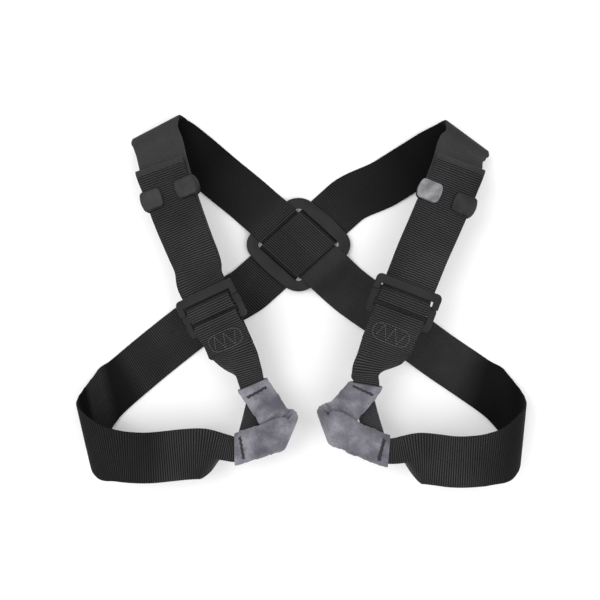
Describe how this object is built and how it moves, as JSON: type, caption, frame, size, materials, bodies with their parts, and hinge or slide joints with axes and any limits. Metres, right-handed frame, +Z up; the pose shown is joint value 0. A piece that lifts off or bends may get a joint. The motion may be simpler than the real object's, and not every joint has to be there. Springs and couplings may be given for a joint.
{
  "type": "chest harness",
  "caption": "Climbing chest harness of flat black webbing with a back ring, ladder buckles and grey sleeved chest loops, lying front side up.",
  "frame": {"origin": "centre of the bounding box's underside, on the surface the harness lies on", "axes": "+Z up, away from the surface; +Y towards the shoulders; +X towards the viewer's right in the picture"},
  "size_m": [0.406, 0.3354, 0.0581],
  "materials": {
    "webbing": "ribbed black polyester webbing",
    "sleeve_cloth": "matt grey woven cloth",
    "tape": "black woven tape",
    "dark_metal": "dark coated steel, semi-matt",
    "keeper_plastic": "dark grey moulded plastic"
  },
  "bodies": {
    "root": {"back_ring": "dark_metal", "shoulder_strap_left": "webbing", "side_strap_left": "webbing", "loop_strap_left": "webbing", "loop_sleeve_left": "sleeve_cloth", "loop_tape_left": "tape", "strap_keeper_left": "keeper_plastic", "ladder_buckle_left": "dark_metal", "shoulder_strap_right": "webbing", "side_strap_right": "webbing", "loop_strap_right": "webbing", "loop_sleeve_right": "sleeve_cloth", "loop_tape_right": "tape", "strap_keeper_right": "keeper_plastic", "ladder_buckle_right": "dark_metal"}
  },
  "joints": []
}
